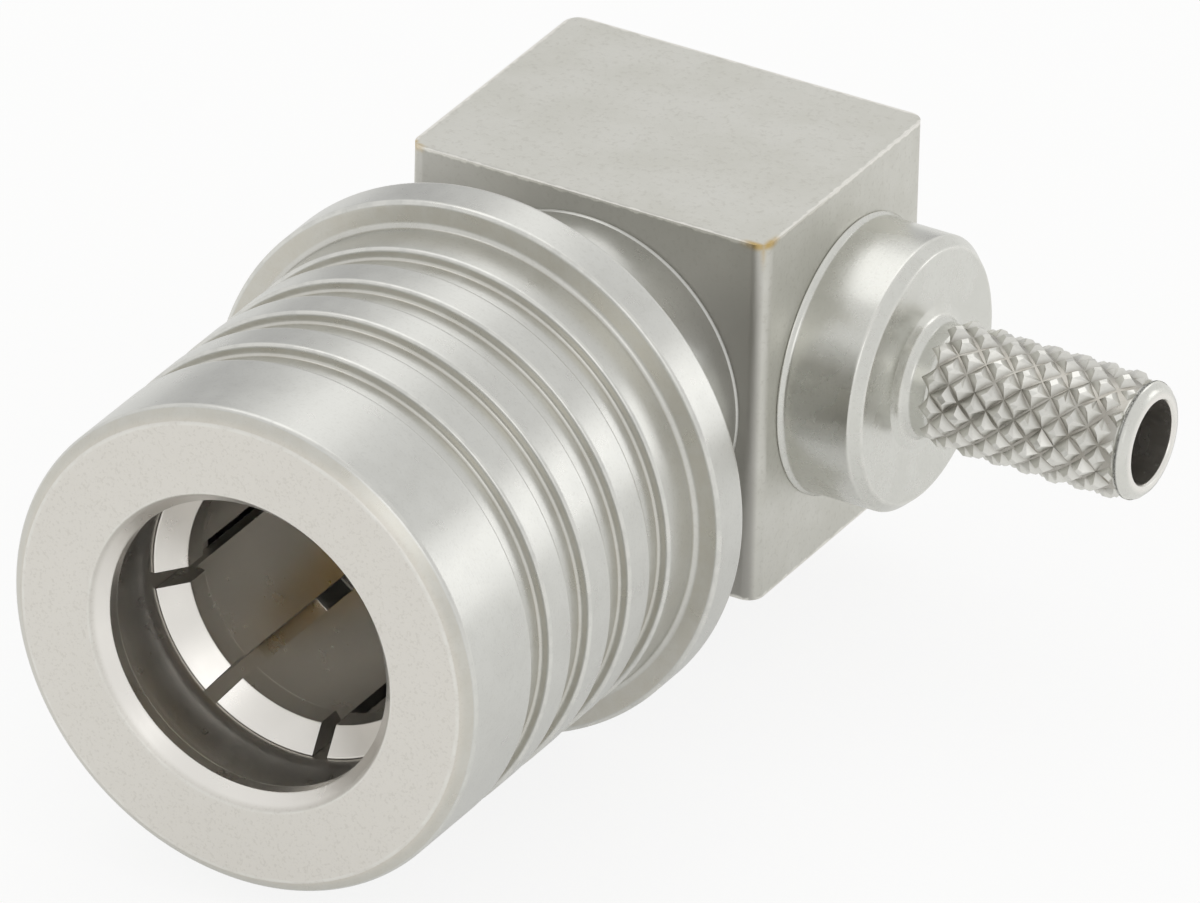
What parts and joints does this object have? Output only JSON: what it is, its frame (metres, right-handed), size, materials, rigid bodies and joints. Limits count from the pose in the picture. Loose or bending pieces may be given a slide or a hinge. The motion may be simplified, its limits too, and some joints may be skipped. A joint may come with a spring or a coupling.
{
  "type": "right-angle snap-lock coaxial plug connector",
  "caption": "Right-angle coaxial plug with a sliding lock sleeve over slotted spring fingers and a knurled crimp neck for thin cable.",
  "frame": {"origin": "on the mating axis in the reference plane, the floor on which a mated socket's end seats, at the foot of the centre pin", "axes": "mating mouth faces -Y, cable leaves along +X, block's upright edges along Z"},
  "size_m": [0.0148, 0.0176, 0.0102],
  "materials": {
    "plated_brass": "satin silver-grey plating",
    "plated_spring_copper": "satin silver-grey plating on spring copper alloy",
    "spring_steel": "satin",
    "gold_plate": "gold plated",
    "ptfe": "matt white"
  },
  "bodies": {
    "elbow": {"elbow_block": "plated_brass", "locking_collet": "plated_spring_copper", "front_insulator": "ptfe", "center_pin": "gold_plate", "cable_entry": "plated_brass", "cap_insulator": "ptfe", "access_cap": "plated_brass"},
    "ring": {"retaining_ring": "spring_steel"},
    "sleeve": {"coupling_sleeve": "plated_brass"}
  },
  "joints": [
    {"name": "ring_spin", "type": "hinge", "parent": "elbow", "child": "ring", "pos_m": [0, -0.00225, 0], "axis": [0, 1, 0], "continuous": true},
    {"name": "sleeve_slide", "type": "slide", "parent": "ring", "child": "sleeve", "axis": [0, 1, 0], "range_m": [0, 0.0014]}
  ]
}
